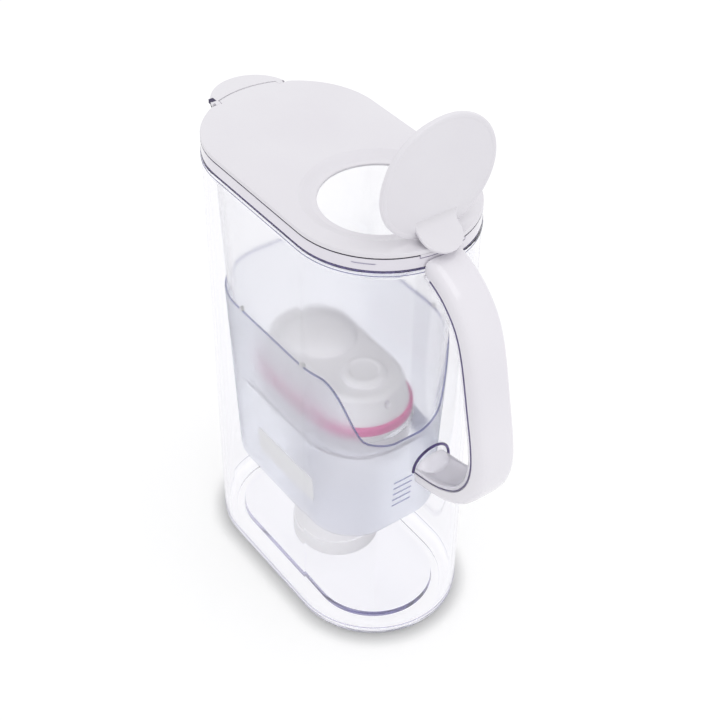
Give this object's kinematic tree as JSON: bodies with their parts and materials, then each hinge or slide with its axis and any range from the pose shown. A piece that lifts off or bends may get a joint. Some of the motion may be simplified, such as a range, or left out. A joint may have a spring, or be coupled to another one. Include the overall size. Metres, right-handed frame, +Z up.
{
  "type": "water filter pitcher",
  "caption": "Slim clear filter jug with a flat white lid, a round flip-open fill lid, a pour flap, a side handle and a lift-out hopper holding an oval filter cartridge.",
  "frame": {"origin": "centre of the jug's footprint on the table", "axes": "+Z up, +X from the jug's centre towards the handle, -X towards the spout, Y across the narrow width"},
  "size_m": [0.2542, 0.107, 0.365],
  "materials": {
    "clear_plastic": "clear, polished",
    "frosted_plastic": "translucent, frosted",
    "white_plastic": "satin white",
    "cartridge_plastic": "satin off-white",
    "seal_rubber": "soft pink",
    "screen_plastic": "woven screen",
    "carbon_grains": "granular",
    "resin_grains": "granular",
    "pin_steel": "bright"
  },
  "bodies": {
    "jug": {"jug": "clear_plastic", "handle_frame": "clear_plastic", "handle_grip": "white_plastic"},
    "hopper": {"hopper": "clear_plastic", "jacket": "frosted_plastic", "jacket_pegs": "white_plastic", "jacket_label": "white_plastic"},
    "lid": {"lid": "white_plastic", "flip_hinge_pin": "pin_steel"},
    "flip_lid": {"flip_lid": "white_plastic", "flip_liner": "white_plastic"},
    "pour_flap": {"spout_flap": "white_plastic"},
    "cartridge": {"cartridge_body": "cartridge_plastic", "cartridge_cap": "cartridge_plastic", "cartridge_seal": "seal_rubber", "inlet_screen": "screen_plastic", "carbon_bed": "carbon_grains", "bed_divider": "screen_plastic", "resin_bed": "resin_grains", "outlet_screen": "screen_plastic", "cartridge_foot": "cartridge_plastic"}
  },
  "joints": [
    {"name": "hopper_lift", "type": "slide", "parent": "jug", "child": "hopper", "axis": [0, 0, 1], "range_m": [0, 0.275]},
    {"name": "lid_lift", "type": "slide", "parent": "hopper", "child": "lid", "axis": [0, 0, 1], "range_m": [0, 0.1]},
    {"name": "cartridge_lift", "type": "slide", "parent": "hopper", "child": "cartridge", "axis": [0, 0, 1], "range_m": [0, 0.105]},
    {"name": "flip_lid_hinge", "type": "hinge", "parent": "lid", "child": "flip_lid", "pos_m": [0.0784, 0, 0.2895], "axis": [0, -1, 0], "range_deg": [0, 94]},
    {"name": "pour_flap_hinge", "type": "hinge", "parent": "lid", "child": "pour_flap", "pos_m": [-0.087, 0, 0.2931], "axis": [0, 1, 0], "range_deg": [0, 60]}
  ]
}
